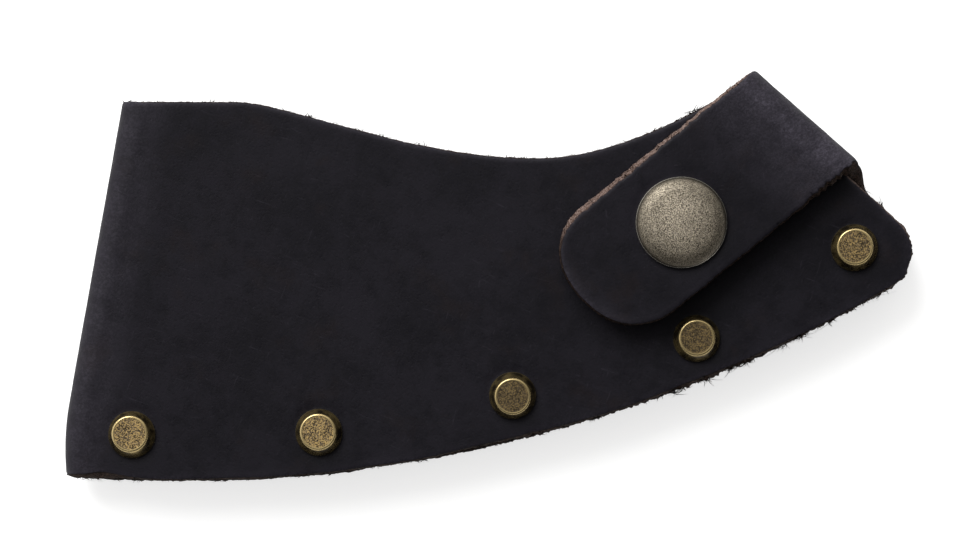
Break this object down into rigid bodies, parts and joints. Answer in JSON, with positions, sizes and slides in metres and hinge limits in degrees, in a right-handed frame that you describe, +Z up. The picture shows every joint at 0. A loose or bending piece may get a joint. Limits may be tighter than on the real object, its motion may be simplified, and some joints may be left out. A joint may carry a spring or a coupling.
{
  "type": "axe blade mask",
  "caption": "Folded leather mask for a felling axe's bit: riveted along its curved edge, open along the top, closed by a strap with a snap fastener.",
  "frame": {"origin": "centre of the bounding box's base, on the surface that the mask lies on", "axes": "+X from the folded side to the toe, +Y out of the open mouth, +Z up through the front panel that carries the snap"},
  "size_m": [0.1404, 0.0681, 0.0182],
  "materials": {
    "leather_body": "dark grained leather, rubbed at the fold",
    "strap": "dark grained leather, brown at its cut edges",
    "welt": "raw brown leather",
    "rivets": "antique brass, satin",
    "snap_cap": "antique nickelled brass, worn",
    "snap_parts": "antique nickelled brass",
    "spring": "bright spring wire"
  },
  "bodies": {
    "sheath": {"leather_body": "leather_body", "edge_welt": "welt", "rivet_front_1": "rivets", "rivet_front_2": "rivets", "rivet_front_3": "rivets", "rivet_front_4": "rivets", "rivet_front_5": "rivets", "rivet_back_1": "rivets", "rivet_back_2": "rivets", "rivet_back_3": "rivets", "rivet_back_4": "rivets", "rivet_back_5": "rivets", "snap_stud": "snap_parts", "snap_eyelet": "snap_parts"},
    "strap_link": {"strap_bend": "strap"},
    "flap": {"strap_flap": "strap", "snap_cap": "snap_cap", "snap_socket": "snap_parts", "snap_spring": "spring"}
  },
  "joints": [
    {"name": "strap_lower_bend", "type": "hinge", "parent": "sheath", "child": "strap_link", "pos_m": [0.05336, 0.02396, 0.00309], "axis": [-0.749, 0.6626, 0], "range_deg": [0, 85]},
    {"name": "strap_upper_bend", "type": "hinge", "parent": "strap_link", "child": "flap", "pos_m": [0.05135, 0.02574, 0.01451], "axis": [-0.749, 0.6626, 0], "range_deg": [0, 85]}
  ]
}
